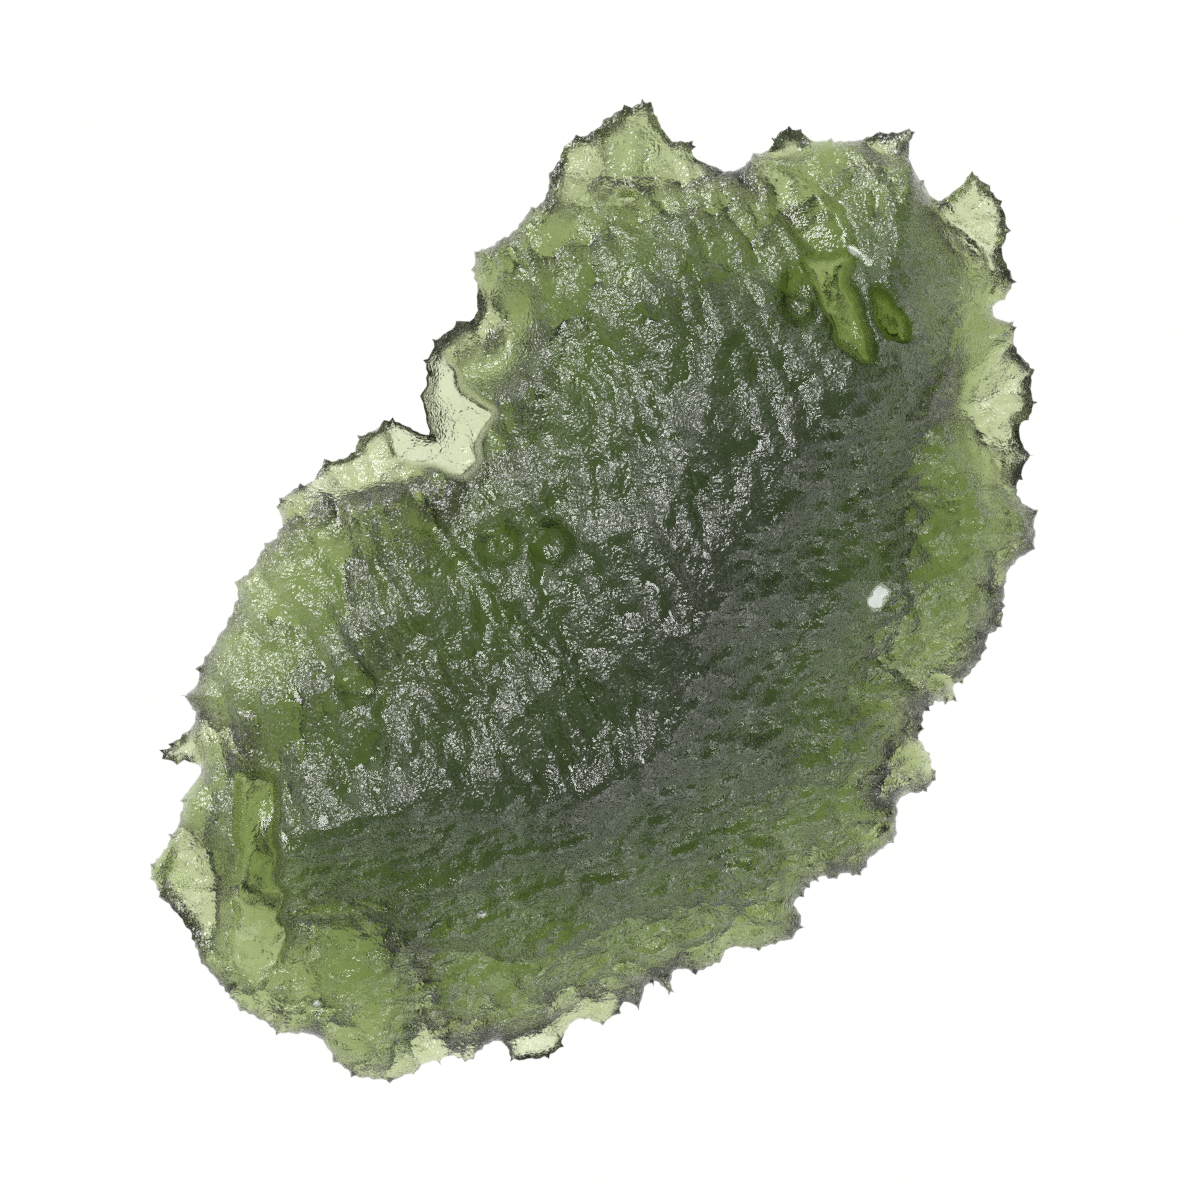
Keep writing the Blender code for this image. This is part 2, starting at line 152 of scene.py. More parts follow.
# Thin places: centre, half lengths, and the share of the thickness that is left
THIN_PLACES = [
    (-2.2, -15.0, 1.2, 0.9, 0.35),
    (-14.3, -5.0, 1.0, 0.7, 0.35),
    (-13.4, -9.6, 1.2, 2.0, 0.55),
    (13.3, 6.2, 1.5, 2.4, 0.45),
    (12.9, 12.6, 1.6, 2.2, 0.5),
    (6.2, 15.3, 1.0, 0.7, 0.5),
    (9.8, 15.3, 1.1, 0.7, 0.5),
    (0.6, 14.6, 3.4, 2.8, 0.72),
    (-4.2, 8.8, 2.0, 2.0, 0.6),
    (-8.0, 4.6, 2.2, 1.2, 0.6),
]

# The clear shelf in the notch, cut down almost to a leaf
SHELF = [
    (-7.2, 6.4), (-6.6, 4.8), (-5.3, 4.5), (-4.6, 4.3), (-4.2, 4.7), (-4.3, 5.2), (-4.1, 5.6),
    (-3.7, 6.2), (-4.6, 7.0), (-5.4, 8.0), (-7.0, 8.0),
]

# The smooth gouges: two in a row below the north rim, a short one beside them, one in the west
NORTH_GOUGE = [
    (5.9, 14.2), (6.7, 14.0), (7.2, 13.4), (7.8, 12.8), (8.1, 12.2), (8.1, 11.4), (7.2, 11.4),
    (6.5, 12.2), (5.9, 13.0),
]
BRIGHT_GOUGE = [
    (6.9, 11.2), (8.0, 11.3), (8.2, 10.4), (8.3, 9.7), (8.7, 8.8), (8.8, 8.0), (8.6, 8.0),
    (7.9, 8.8), (7.4, 9.7), (7.2, 10.5),
]
SHORT_GOUGE = [(9.1, 10.0), (9.5, 9.9), (9.9, 9.3), (10.0, 8.7), (9.6, 8.8), (9.2, 9.4)]
WEST_GOUGE = [
    (-11.8, -6.0), (-10.9, -6.0), (-10.9, -7.2), (-10.9, -8.2), (-10.7, -9.7), (-10.6, -11.0),
    (-10.7, -12.0), (-11.5, -12.5), (-12.0, -12.0), (-12.0, -11.0), (-11.9, -9.7), (-11.8, -8.5),
]

# Hollows: outline, the share of the thickness that is left, and the width of the bank around it
HOLLOWS = [
    (SHELF, 0.13, 0.35),
    (NORTH_GOUGE, 0.82, 0.4),
    (BRIGHT_GOUGE, 0.5, 0.28),
    (SHORT_GOUGE, 0.62, 0.25),
    (WEST_GOUGE, 0.68, 0.35),
]
HOLLOW_WOBBLE = 0.16
HOLLOW_WOBBLE_SIZE = 0.7

# The crack across the north-east lobe: its line, half width and depth
CRACK = [(11.1, 13.2), (11.6, 12.6), (12.3, 12.2), (12.9, 11.7), (13.1, 11.1), (13.0, 10.5)]
CRACK_HALF_WIDTH = 0.2
CRACK_DEPTH = 0.6

# Pale chips on the slope. Their pale colour is partly a painted highlight that stands in for small white
# glints: centre, half lengths and lean
GLINT_CHIPS = [
    (9.2, 0.1, 0.32, 0.52, -0.5),
    (-3.9, -10.4, 0.22, 0.16, 0.2),
    (-9.4, -13.4, 0.22, 0.2, 0.6),
    (8.5, 11.5, 0.4, 0.14, -0.7),
]
CHIP_CORNERS = 9
CHIP_RISE = 0.12
CHIP_SINK = 0.1
CHIP_LEAST_REACH = 0.7
CHIP_UNEVENNESS = 0.5

# Fine relief on the face: islands that catch the light, in leaning columns
ISLAND_SIZE = 0.5
ISLAND_STRETCH = 1.4
ISLAND_DEPTH = 0.14
COLUMN_STEP = 0.95
COLUMN_SWAY = 0.7
COLUMN_DEPTH = 0.13

# Fine relief on the slope: flat cups side by side
CELL_SIZE = 0.4
CELL_STRETCH = 1.7
CELL_DEPTH = 0.27

# The scales on both
SCALE_SIZE = 0.28
SCALE_DEPTH = 0.1

# How etched the skin of the underside is, from 0 to 1
UNDERSIDE_ETCHING = 0.7

# The glass: how much of each colour one metre takes out, and its finish
ABSORPTION_DENSITY = 860.0
ABSORPTION_COLOUR = (0.49, 0.585, 0.2, 1.0)
GLASS_IOR = 1.5
GLASS_COLOUR = (0.92, 0.965, 0.74, 1.0)
GLASS_CLARITY = 0.98
SMOOTH_ROUGHNESS = 0.12
ETCHED_ROUGHNESS = 0.3
ETCH_SIZE = 0.14
GRAIN_SIZE = 0.08
GRAIN_HEIGHT = 0.038
SMOOTH_ETCHING = 0.06
FULL_ETCHING = 0.35
SPECK_SIZE = 0.13
SPECK_LOW = 0.42
SPECK_HIGH = 0.6
SPECK_LEAST = 0.1
SKIN_IOR = 1.6
SKIN_ROUGHNESS = 0.28

# Painted highlight: the chips' pale colour stands in for small white glints
GLINT_CHIP_COLOUR = (0.78, 0.83, 0.76, 1.0)
CHIP_ROUGHNESS = 0.3

# The table, the lights and the camera
TABLE_SIZE = 2.0
TABLE_DROP = 0.0001
TABLE_BRIGHTNESS = 1.0
TABLE_COLOUR = (1.0, 1.0, 0.995, 1.0)
ROOM_BRIGHTNESS = 0.2
WALL_BRIGHTNESS = 0.45
WALL_TOP = 0.1
CEILING_EDGE = 0.45
OVERHEAD_BRIGHTNESS = 0.22
KEY_BRIGHTNESS = 11.0
FILL_BRIGHTNESS = 1.5
SPARK_BRIGHTNESS = 9.0
PHOTO_WIDTH = 0.040
CAMERA_HEIGHT = 0.40
SENSOR_WIDTH = 36.0


def whole_rim():
    """The rim in millimetres, as one closed loop of points."""
    parts = [
        NORTH_WEST_RIM, NORTH_RIM, NORTH_EAST_RIM, EAST_RIM, SOUTH_EAST_RIM,
        SOUTH_RIM, SOUTH_WEST_RIM, WEST_RIM, NOTCH_RIM,
    ]
    return [(x * RIM_UNIT, y * RIM_UNIT) for part in parts for x, y in part]


def nearest_on_line(x, y, line, closed=False):
    """The distance to a line of points, and how far along it the nearest place is, in points."""
    distance = np.full(x.shape, np.inf)
    along = np.zeros(x.shape)
    ends = line[1:] + line[:1] if closed else line[1:]
    for number, (start, end) in enumerate(zip(line, ends)):
        run_x = end[0] - start[0]
        run_y = end[1] - start[1]
        share = ((x - start[0]) * run_x + (y - start[1]) * run_y) / (run_x**2 + run_y**2)
        share = np.clip(share, 0.0, 1.0)
        reach = np.hypot(x - start[0] - share * run_x, y - start[1] - share * run_y)
        nearer = reach < distance
        distance = np.where(nearer, reach, distance)
        along = np.where(nearer, number + share, along)
    return distance, along


def is_inside(x, y, loop):
    """Whether each point lies inside a closed loop, by counting the sides crossed to its right."""
    inside = np.zeros(x.shape, dtype=bool)
    for (ax, ay), (bx, by) in zip(loop, loop[1:] + loop[:1]):
        if ay == by:
            continue
        crosses = (ay > y) != (by > y)
        crossing_x = ax + (y - ay) * (bx - ax) / (by - ay)
        inside ^= crosses & (x < crossing_x)
    return inside


def ease(value, low, high):
    """A smooth step from 0 at low to 1 at high."""
    share = np.clip((value - low) / (high - low), 0.0, 1.0)
    return share * share * (3.0 - 2.0 * share)


def cell_value(column, row, seed):
    """A repeatable value from 0 to 1 for each cell of a grid."""
    mixed = (column * 374761393 + row * 668265263 + seed * 974634777) & 0xFFFFFFFF
    mixed = ((mixed ^ (mixed >> 13)) * 1274126177) & 0xFFFFFFFF
    mixed = mixed ^ (mixed >> 16)
    return (mixed & 65535) / 65535.0


def waves(x, y, seed):
    """Smooth noise from -1 to 1 that changes over one unit."""
    column = np.floor(x).astype(np.int64)
    row = np.floor(y).astype(np.int64)
    right = ease(x - column, 0.0, 1.0)
    up = ease(y - row, 0.0, 1.0)
    low = cell_value(column, row, seed) * (1 - right) + cell_value(column + 1, row, seed) * right
    high = cell_value(column, row + 1, seed) * (1 - right)
    high = high + cell_value(column + 1, row + 1, seed) * right
    return 2.0 * (low * (1 - up) + high * up) - 1.0


def cups(x, y, seed):
    """Etched cups about one unit across: 0 at a cup's bottom, about 1 on the sharp crest around it."""
    column = np.floor(x).astype(np.int64)
    row = np.floor(y).astype(np.int64)
    nearest = np.full(x.shape, np.inf)
    for step_x in (-1, 0, 1):
        for step_y in (-1, 0, 1):
            place_x = column + step_x + cell_value(column + step_x, row + step_y, seed)
            place_y = row + step_y + cell_value(column + step_x, row + step_y, seed + 1)
            nearest = np.minimum(nearest, np.hypot(place_x - x, place_y - y))
    return np.minimum(1.6 * nearest**2, 1.3)


def turned_cups(x, y, size, stretch, lean, seed):
    """Cups stretched along one direction."""
    long_way = (x * np.cos(lean) + y * np.sin(lean)) / (size * stretch)
    short_way = (y * np.cos(lean) - x * np.sin(lean)) / size
    return cups(long_way, short_way, seed)


def on_face(x, y):
    """1 on the upper-left face, 0 on the slope beyond the crest."""
    crest = [(cx, cy) for cx, cy, height in CREST]
    distance, along = nearest_on_line(x, y, crest)
    signed = np.where(is_inside(x, y, crest + FACE_CORNERS), distance, -distance)
    return ease(signed, -FACE_BLEND, FACE_BLEND)


def in_hollow(x, y, outline, bank):
    """1 inside the uneven outline of a hollow, falling to 0 across the bank around it."""
    distance, along = nearest_on_line(x, y, outline, closed=True)
    signed = np.where(is_inside(x, y, outline), distance, -distance)
    wobble = HOLLOW_WOBBLE * waves(x / HOLLOW_WOBBLE_SIZE, y / HOLLOW_WOBBLE_SIZE, 61)
    return ease(signed + wobble, -bank, 0.0)


def thickness_left(x, y):
    """The share of the thickness that the thin places and the hollows leave."""
    left = np.ones(x.shape)
    for centre_x, centre_y, radius_x, radius_y, share in THIN_PLACES:
        reach = np.hypot((x - centre_x) / radius_x, (y - centre_y) / radius_y)
        left *= 1.0 - (1.0 - share) * (1.0 - ease(reach, 0.5, 1.3))
    for outline, share, bank in HOLLOWS:
        left *= 1.0 - (1.0 - share) * in_hollow(x, y, outline, bank)
    return left


def pitted(x, y):
    """The depth of the pits and the crack."""
    depth = np.zeros(x.shape)
    for centre_x, centre_y, radius_x, radius_y, deepest in PITS:
        reach = np.hypot((x - centre_x) / radius_x, (y - centre_y) / radius_y)
        depth += deepest * (1.0 - ease(reach, 0.4, 1.25))
    distance, along = nearest_on_line(x, y, CRACK)
    return depth + CRACK_DEPTH * (1.0 - ease(distance, 0.0, CRACK_HALF_WIDTH))


def smooth_places(x, y):
    """Near 1 in the hollows and pits, which the etching has left smooth, and 0 elsewhere."""
    smooth = np.zeros(x.shape)
    for outline, share, bank in HOLLOWS:
        smooth = np.maximum(smooth, 0.9 * in_hollow(x, y, outline, 0.4 * bank))
    for centre_x, centre_y, radius_x, radius_y, deepest in PITS:
        reach = np.hypot((x - centre_x) / radius_x, (y - centre_y) / radius_y)
        ring = ease(reach, 0.25, 0.6) * (1.0 - ease(reach, 0.8, 1.15))
        smooth = np.maximum(smooth, ring)
    return smooth


def wavering_rows(across, x, y, step, sway, seed):
    """Soft wavering rows, from 0 in their troughs to 1 on their tops."""
    return 0.5 + 0.5 * np.sin(2 * np.pi * (across / step + sway * waves(x / 2.3, y / 2.3, seed)))


def face_etching(x, y):
    """Domed islands on the face and the columns that they stand in, each 1 on its tops."""
    across = y * np.cos(KNOB_LEAN) - x * np.sin(KNOB_LEAN)
    columns = wavering_rows(across, x, y, COLUMN_STEP, COLUMN_SWAY, 45)
    islands = 1.0 - turned_cups(x, y, ISLAND_SIZE, ISLAND_STRETCH, KNOB_LEAN, 41)
    return islands + 0.4 * waves(x / 1.9, y / 1.9, 43), columns


def upper_relief(x, y):
    """The relief of the upper side, and where its skin is etched rather than smooth."""
    lumps = LUMP_DEPTH * (cups(x / LUMP_SIZE, y / LUMP_SIZE, 11) - 0.5)
    knobs = KNOB_DEPTH * (0.5 - turned_cups(x, y, KNOB_SIZE, KNOB_STRETCH, KNOB_LEAN, 23))
    slope_cups = turned_cups(x, y, SLOPE_CUP_SIZE, SLOPE_CUP_STRETCH, SLOPE_LEAN, 37) - 0.5
    face = on_face(x, y)

    islands, columns = face_etching(x, y)
    cells = turned_cups(x, y, CELL_SIZE, CELL_STRETCH, SLOPE_LEAN, 47)
    scales = cups(x / SCALE_SIZE, y / SCALE_SIZE, 53)
    plain = smooth_places(x, y)
    etched_face = 0.05 + 0.95 * ease(0.6 * islands + 0.4 * columns, 0.15, 0.6)
    etched_slope = 0.2 + 0.8 * ease(cells, 0.15, 0.8)
    etched = (face * etched_face + (1.0 - face) * etched_slope) * (1.0 - 0.95 * plain)
    fine = face * (ISLAND_DEPTH * (islands - 0.5) + COLUMN_DEPTH * (columns - 0.5))
    fine = fine + (1.0 - face) * CELL_DEPTH * (cells - 0.5)
    fine = (fine + SCALE_DEPTH * (scales - 0.5) * etched) * (1.0 - plain)
    return lumps + face * knobs + (1.0 - face) * SLOPE_CUP_DEPTH * slope_cups + fine, etched


def lower_relief(x, y):
    """The relief of the underside: lumps, knobs on them and fine cups on both."""
    lumps = cups(x / UNDERSIDE_LUMP_SIZE, y / UNDERSIDE_LUMP_SIZE, 51) - 0.5
    knobs = cups(x / UNDERSIDE_KNOB_SIZE, y / UNDERSIDE_KNOB_SIZE, 67) - 0.5
    islands = cups(x / ISLAND_SIZE, y / ISLAND_SIZE, 71) - 0.5
    return UNDERSIDE_LUMP_DEPTH * lumps + UNDERSIDE_KNOB_DEPTH * knobs + ISLAND_DEPTH * islands


def sheet_heights(x, y, rim):
    """The heights of the lower and the upper sheet and of the rim between them, and the etching."""
    edge_distance, edge_along = nearest_on_line(x, y, rim, closed=True)
    middle = RIM_HEIGHT + RIM_WAVE * waves(x / RIM_WAVE_SIZE, y / RIM_WAVE_SIZE, 5)
    to_edge = 1.0 - np.minimum(edge_distance / EDGE_RUN, 1.0)
    edge = (1.0 - to_edge**EDGE_POWER) ** (1.0 / EDGE_POWER)

    crest = [(cx, cy) for cx, cy, height in CREST]
    crest_distance, crest_along = nearest_on_line(x, y, crest)
    crest_height = np.interp(crest_along, range(len(CREST)), [height for cx, cy, height in CREST])
    rounded = np.hypot(crest_distance, CREST_ROUNDING) - CREST_ROUNDING
    from_crest = rounded / (rounded + edge_distance + 1e-9)
    power = SLOPE_POWER + (FACE_POWER - SLOPE_POWER) * on_face(x, y)
    top = middle + EDGE_HALF_THICKNESS * edge
    top = top + (crest_height - middle - EDGE_HALF_THICKNESS) * (1.0 - from_crest**power)

    foot_reach = np.hypot((x - FOOT_CENTRE[0]) / FOOT_RADII[0], (y - FOOT_CENTRE[1]) / FOOT_RADII[1])
    foot_distance = np.maximum(foot_reach - 1.0, 0.0) * np.mean(FOOT_RADII)
    from_foot = foot_distance / (foot_distance + edge_distance + 1e-9)
    bottom = (middle - EDGE_HALF_THICKNESS * edge) * from_foot**UNDERSIDE_POWER
    bottom = bottom + lower_relief(x, y) * ease(from_foot, 0.0, FOOT_FADE) * edge
    bottom = np.maximum(bottom, 0.0)

    relief, etched = upper_relief(x, y)
    top = top + relief * edge
    top = top - pitted(x, y) * edge
    top = bottom + (top - bottom) * thickness_left(x, y)
    top = np.maximum(top, bottom + LEAST_THICKNESS * edge)
    return bottom, top, middle, etched


def stepped_rim(rim, step):
    """The rim in short sides, roughened inwards."""
    points = []
    for side, ((ax, ay), (bx, by)) in enumerate(zip(rim, rim[1:] + rim[:1])):
        length = np.hypot(bx - ax, by - ay)
        steps = max(1, round(length / step))
        for n in range(steps):
            rough = RIM_NUDGE + RIM_ROUGHNESS * float(cell_value(np.int64(side), np.int64(n), 3))
            inwards = rough / length if n else 0.0
            points.append((
                ax + (bx - ax) * n / steps + inwards * (by - ay),
                ay + (by - ay) * n / steps - inwards * (bx - ax),
            ))
    return points


def band_points(points, depth):
    """A row of points at one depth inside the rim, one for each of its sides."""
    kept = []
    for (ax, ay), (bx, by) in zip(points, points[1:] + points[:1]):
        length = np.hypot(bx - ax, by - ay)
        kept.append((
            (ax + bx) / 2 + depth * (by - ay) / length,
            (ay + by) / 2 - depth * (bx - ax) / length,
        ))
    x, y = np.array(kept).T
    distance, along = nearest_on_line(x, y, points, closed=True)
    clear = is_inside(x, y, points) & (distance > 0.85 * depth)
    return list(zip(x[clear], y[clear]))


def grid_points(rim, step):
    """A jittered triangular grid over the inside of the rim."""
    low_x, low_y = np.min(rim, axis=0)
    high_x, high_y = np.max(rim, axis=0)
    row_step = step * np.sqrt(0.75)
    columns, rows = np.meshgrid(
        np.arange(int((high_x - low_x) / step) + 2),
        np.arange(int((high_y - low_y) / row_step) + 2),
    )
    jitter = GRID_JITTER * step
    x = low_x + step * (columns + 0.5 * (rows % 2)) + jitter * (cell_value(columns, rows, 1) - 0.5)
    y = low_y + row_step * rows + jitter * (cell_value(columns, rows, 2) - 0.5)
    x = x.ravel()
    y = y.ravel()
    distance, along = nearest_on_line(x, y, rim, closed=True)
    clear = is_inside(x, y, rim) & (distance > BAND_DEPTHS[-1] + 0.6 * step)
    return list(zip(x[clear], y[clear]))


def triangulated(edge_points, inner_points):
    """Triangles inside the rim, with no side that joins two rim points across the stone."""
    count = len(edge_points)
    sides = [(n, (n + 1) % count) for n in range(count)]
    for attempt in range(TRIANGULATION_ATTEMPTS):
        places, edges, triangles, origins, *rest = delaunay_2d_cdt(
            edge_points + inner_points, sides, [], 0, 1e-7, True
        )
        triangles = np.array(triangles)
        corners = np.array([tuple(place) for place in places])[triangles]
        centre_x, centre_y = corners.mean(axis=1).T
        triangles = triangles[is_inside(centre_x, centre_y, edge_points)]
        on_rim = np.array([any(n < count for n in origin) for origin in origins])
        pairs = np.concatenate([triangles[:, [0, 1]], triangles[:, [1, 2]], triangles[:, [2, 0]]])
        pairs = np.sort(pairs, axis=1)
        pairs, uses = np.unique(pairs, axis=0, return_counts=True)
        chords = pairs[(uses == 2) & on_rim[pairs].all(axis=1)]
        if len(chords) == 0:
            break
        inner_points = inner_points + [tuple((places[a] + places[b]) / 2) for a, b in chords]
    return np.array([tuple(place) for place in places]), triangles, on_rim


def stone_mesh():
    """Both sheets as one mesh that meets along the rim, placed over the solid of the frame."""
    step = GRID_STEP
    rim = whole_rim()
    edge_points = stepped_rim(rim, max(step, RIM_STEP))
    inner_points = grid_points(rim, step)
    for depth in BAND_DEPTHS:
        inner_points += band_points(edge_points, depth)
    places, triangles, on_rim = triangulated(edge_points, inner_points)
    x, y = places.T
    bottom, top, middle, etched = sheet_heights(x, y, edge_points)
    centre_x, centre_y = (np.min(rim, axis=0) + np.max(rim, axis=0)) / 2
    x = x - centre_x
    y = y - centre_y

    inner = np.flatnonzero(~on_rim)
    lower_number = np.arange(len(x))
    lower_number[inner] = len(x) + np.arange(len(inner))
    upper = np.column_stack([x, y, np.where(on_rim, middle, top)])
    lower = np.column_stack([x, y, bottom])[inner]
    faces = np.concatenate([triangles, lower_number[triangles][:, ::-1]])
    mesh = bpy.data.meshes.new("moldavite_glass_stone")
    mesh.from_pydata((np.concatenate([upper, lower]) * MILLIMETRE).tolist(), [], faces.tolist())
    mesh.shade_smooth()
    layer = mesh.attributes.new("etched", "FLOAT", "POINT")
    layer.data.foreach_set("value", np.concatenate([etched, np.full(len(inner), UNDERSIDE_ETCHING)]))
    return mesh


def noise_grains(nodes, links, size):
    """Noise over the stone, with grains of one size in millimetres."""
    place = nodes.new("ShaderNodeTexCoord")
    noise = nodes.new("ShaderNodeTexNoise")
    noise.inputs["Scale"].default_value = 1.0 / (size * MILLIMETRE)
    noise.inputs["Detail"].default_value = 0.0
    links.new(place.outputs["Object"], noise.inputs["Vector"])
    return noise.outputs["Fac"]


def grain_bump(nodes, links, etched):
    """A bump of coarse and fine grains, weaker where the skin is smooth."""
    both = nodes.new("ShaderNodeMath")
    both.operation = "ADD"
    links.new(noise_grains(nodes, links, ETCH_SIZE), both.inputs[0])
    links.new(noise_grains(nodes, links, GRAIN_SIZE), both.inputs[1])
    strength = nodes.new("ShaderNodeMapRange")
    strength.inputs["From Max"].default_value = FULL_ETCHING
    strength.inputs["To Min"].default_value = SMOOTH_ETCHING
    strength.inputs["To Max"].default_value = 1.0
    links.new(etched, strength.inputs["Value"])
    bump = nodes.new("ShaderNodeBump")
    bump.inputs["Distance"].default_value = GRAIN_HEIGHT * MILLIMETRE
    links.new(strength.outputs["Result"], bump.inputs["Strength"])
    links.new(both.outputs["Value"], bump.inputs["Height"])
    return bump.outputs["Normal"]


def speckled_skin(nodes, links, etched):
    """How much of the etched skin there is, broken into specks."""
    speck = nodes.new("ShaderNodeMapRange")
    speck.inputs["From Min"].default_value = SPECK_LOW
    speck.inputs["From Max"].default_value = SPECK_HIGH
    speck.inputs["To Min"].default_value = SPECK_LEAST
    speck.inputs["To Max"].default_value = 1.0
    links.new(noise_grains(nodes, links, SPECK_SIZE), speck.inputs["Value"])
    skin = nodes.new("ShaderNodeMath")
    skin.operation = "MULTIPLY"
    links.new(etched, skin.inputs[0])
    links.new(speck.outputs["Result"], skin.inputs[1])
    return skin.outputs["Value"]


def glass_material():
    """Clear green glass: absorption for the colour, and an etched skin that scatters the glints."""
    material = bpy.data.materials.new("moldavite_glass")
    material.use_nodes = True
    nodes = material.node_tree.nodes
    links = material.node_tree.links
    surface = nodes["Principled BSDF"]
    output = nodes["Material Output"]
    surface.inputs["Base Color"].default_value = GLASS_COLOUR
    surface.inputs["Metallic"].default_value = 0.0
    surface.inputs["IOR"].default_value = GLASS_IOR
    surface.inputs["Transmission Weight"].default_value = GLASS_CLARITY
    surface.inputs["Coat IOR"].default_value = SKIN_IOR
    surface.inputs["Coat Roughness"].default_value = SKIN_ROUGHNESS

    absorption = nodes.new("ShaderNodeVolumeAbsorption")
    absorption.inputs["Color"].default_value = ABSORPTION_COLOUR
    absorption.inputs["Density"].default_value = ABSORPTION_DENSITY
    links.new(absorption.outputs["Volume"], output.inputs["Volume"])

    etched = nodes.new("ShaderNodeAttribute")
    etched.attribute_name = "etched"
    grain = grain_bump(nodes, links, etched.outputs["Fac"])
    links.new(grain, surface.inputs["Normal"])
    links.new(grain, surface.inputs["Coat Normal"])

    links.new(speckled_skin(nodes, links, etched.outputs["Fac"]), surface.inputs["Coat Weight"])
    finish = nodes.new("ShaderNodeMapRange")
    finish.inputs["To Min"].default_value = SMOOTH_ROUGHNESS
    finish.inputs["To Max"].default_value = ETCHED_ROUGHNESS
    links.new(etched.outputs["Fac"], finish.inputs["Value"])
    links.new(finish.outputs["Result"], surface.inputs["Roughness"])
    return material


def glint_chip_material():
    """The pale white of a chip in the glass, partly a painted highlight that stands in for a white glint.
    """
    material = bpy.data.materials.new("moldavite_glint_chip")
    material.use_nodes = True
    surface = material.node_tree.nodes["Principled BSDF"]
    surface.inputs["Base Color"].default_value = GLINT_CHIP_COLOUR
    surface.inputs["Roughness"].default_value = CHIP_ROUGHNESS
    surface.inputs["IOR"].default_value = GLASS_IOR
    return material


def table_material():
    """An evenly glowing white, which reflects nothing."""
    material = bpy.data.materials.new("lit_table")
    material.use_nodes = True
    surface = material.node_tree.nodes["Principled BSDF"]
    surface.inputs["Base Color"].default_value = (0.0, 0.0, 0.0, 1.0)
    surface.inputs["Specular IOR Level"].default_value = 0.0
    surface.inputs["Emission Color"].default_value = TABLE_COLOUR
    surface.inputs["Emission Strength"].default_value = TABLE_BRIGHTNESS
    material.cycles.emission_sampling = "NONE"
    return material


def build_stone():
    mesh = stone_mesh()
    mesh.materials.append(glass_material())
    stone = bpy.data.objects.new("moldavite_stone", mesh)
    bpy.context.scene.collection.objects.link(stone)
    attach(stone, "root")
    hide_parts("moldavite")


def glint_chip_mesh():
    """Small closed mounds with a few flat sides each, sunk into the upper side."""
    rim = whole_rim()
    middle_x, middle_y = (np.min(rim, axis=0) + np.max(rim, axis=0)) / 2
    corners = []
    sides = []
    for number, (centre_x, centre_y, radius_x, radius_y, lean) in enumerate(GLINT_CHIPS):
        turn = np.arange(CHIP_CORNERS) * 2 * np.pi / CHIP_CORNERS
        reach = cell_value(np.arange(CHIP_CORNERS), np.int64(number), 81)
        reach = CHIP_LEAST_REACH + CHIP_UNEVENNESS * reach
        long_way = radius_x * reach * np.cos(turn)
        short_way = radius_y * reach * np.sin(turn)
        x = np.append(centre_x + long_way * np.cos(lean) - short_way * np.sin(lean), centre_x)
        y = np.append(centre_y + long_way * np.sin(lean) + short_way * np.cos(lean), centre_y)
        bottom, top, middle, etched = sheet_heights(x, y, rim)
        height = top - CHIP_SINK
        height[-1] = top[-1] + CHIP_RISE
        first = len(corners)
        corners += np.column_stack([x - middle_x, y - middle_y, height]).tolist()
        last = first + CHIP_CORNERS
        sides += [(last, first + n, first + (n + 1) % CHIP_CORNERS) for n in range(CHIP_CORNERS)]
        sides.append(tuple(range(last - 1, first - 1, -1)))
    mesh = bpy.data.meshes.new("moldavite_glint_chips")
    mesh.from_pydata((np.array(corners) * MILLIMETRE).tolist(), [], sides)
    return mesh


def build_glint_chips():
    mesh = glint_chip_mesh()
    # The chips wear the pale colour, a painted highlight for small white glints
    mesh.materials.append(glint_chip_material())
    chips = bpy.data.objects.new("moldavite_glint_chips", mesh)
    bpy.context.scene.collection.objects.link(chips)
    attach(chips, "root")


def build_table():
    """A pale table that is lit from below, a hair under the stone."""
    half = TABLE_SIZE / 2
    mesh = bpy.data.meshes.new("table")
    corners = [(x, y, -TABLE_DROP) for x, y in ((-half, -half), (half, -half), (half, half), (-half, half))]
    mesh.from_pydata(corners, [], [(0, 1, 2, 3)])
    mesh.materials.append(table_material())
    table = bpy.data.objects.new("table", mesh)
    bpy.context.scene.collection.objects.link(table)


def add_soft_light(name, place, size_x, size_y, brightness):
    """A rectangular light that faces the stone, with the same brightness over its face at any size."""
    light = bpy.data.lights.new(name, "AREA")
    light.shape = "RECTANGLE"
    light.size = size_x
    light.size_y = size_y
    light.energy = brightness * np.pi * size_x * size_y
    lamp = bpy.data.objects.new(name, light)
    lamp.location = place
    lamp.rotation_euler = (-Vector(place)).to_track_quat("-Z", "Y").to_euler()
    lamp.visible_camera = False
    bpy.context.scene.collection.objects.link(lamp)


def room():
    """A dim room with pale walls, which are brighter than its ceiling."""
    world = bpy.data.worlds.new("room")
    world.use_nodes = True
    nodes = world.node_tree.nodes
    links = world.node_tree.links
    direction = nodes.new("ShaderNodeTexCoord")
    axes = nodes.new("ShaderNodeSeparateXYZ")
    walls = nodes.new("ShaderNodeMapRange")
    walls.inputs["From Min"].default_value = WALL_TOP
    walls.inputs["From Max"].default_value = CEILING_EDGE
    walls.inputs["To Min"].default_value = WALL_BRIGHTNESS
    walls.inputs["To Max"].default_value = ROOM_BRIGHTNESS
    links.new(direction.outputs["Generated"], axes.inputs["Vector"])
    links.new(axes.outputs["Z"], walls.inputs["Value"])
    links.new(walls.outputs["Result"], nodes["Background"].inputs["Strength"])
    nodes["Background"].inputs["Color"].default_value = (1.0, 1.0, 1.0, 1.0)
    return world


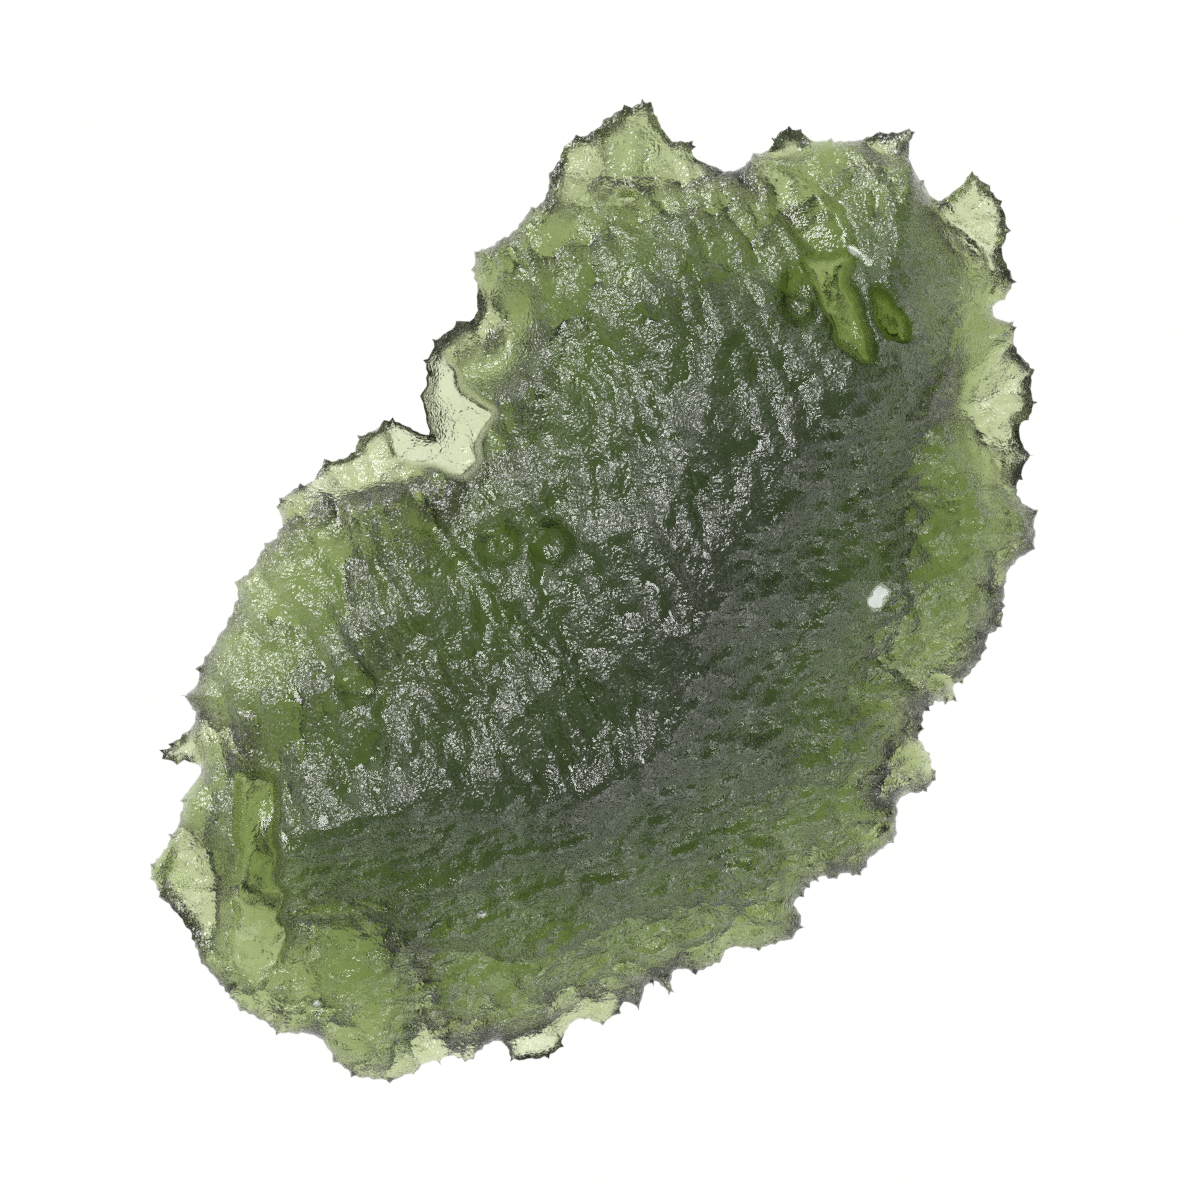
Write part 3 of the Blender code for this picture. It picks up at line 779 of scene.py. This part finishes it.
def add_lights():
    bpy.context.scene.world = room()
    add_soft_light("overhead", (0.0, 0.0, 0.6), 0.7, 0.7, OVERHEAD_BRIGHTNESS)
    add_soft_light("key", (-0.42, 0.45, 0.24), 0.38, 0.3, KEY_BRIGHTNESS)
    add_soft_light("fill", (0.25, -0.5, 0.28), 0.9, 0.45, FILL_BRIGHTNESS)
    add_soft_light("spark", (0.34, -0.28, 0.42), 0.16, 0.16, SPARK_BRIGHTNESS)


def add_camera():
    """Straight down, with the photograph's centre and width."""
    rim = whole_rim()
    centre_x, centre_y = (np.min(rim, axis=0) + np.max(rim, axis=0)) / 2
    camera = bpy.data.cameras.new("camera")
    camera.sensor_width = SENSOR_WIDTH
    camera.lens = SENSOR_WIDTH * CAMERA_HEIGHT / PHOTO_WIDTH
    camera.clip_start = 0.01
    viewer = bpy.data.objects.new("camera", camera)
    viewer.location = (
        -centre_x * MILLIMETRE,
        -centre_y * MILLIMETRE,
        CAMERA_HEIGHT + RIM_HEIGHT * MILLIMETRE,
    )
    bpy.context.scene.collection.objects.link(viewer)
    bpy.context.scene.camera = viewer


def set_view():
    """Plain colours, no smoothing, so that the grain of the etching stays, and simple light sampling."""
    scene = bpy.context.scene
    scene.view_settings.view_transform = "Standard"
    scene.cycles.max_bounces = 16
    scene.cycles.transmission_bounces = 16
    scene.cycles.glossy_bounces = 8
    scene.cycles.sample_clamp_indirect = 4.0
    scene.cycles.use_denoising = False
    scene.cycles.use_light_tree = False


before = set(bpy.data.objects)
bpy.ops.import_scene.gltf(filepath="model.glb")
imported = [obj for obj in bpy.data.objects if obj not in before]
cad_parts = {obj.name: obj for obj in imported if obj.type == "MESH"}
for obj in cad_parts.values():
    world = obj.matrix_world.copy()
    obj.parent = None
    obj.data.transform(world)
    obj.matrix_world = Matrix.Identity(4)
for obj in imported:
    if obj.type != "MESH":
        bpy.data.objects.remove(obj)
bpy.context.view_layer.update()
build_stone()
build_glint_chips()
build_table()
add_lights()
add_camera()
set_view()
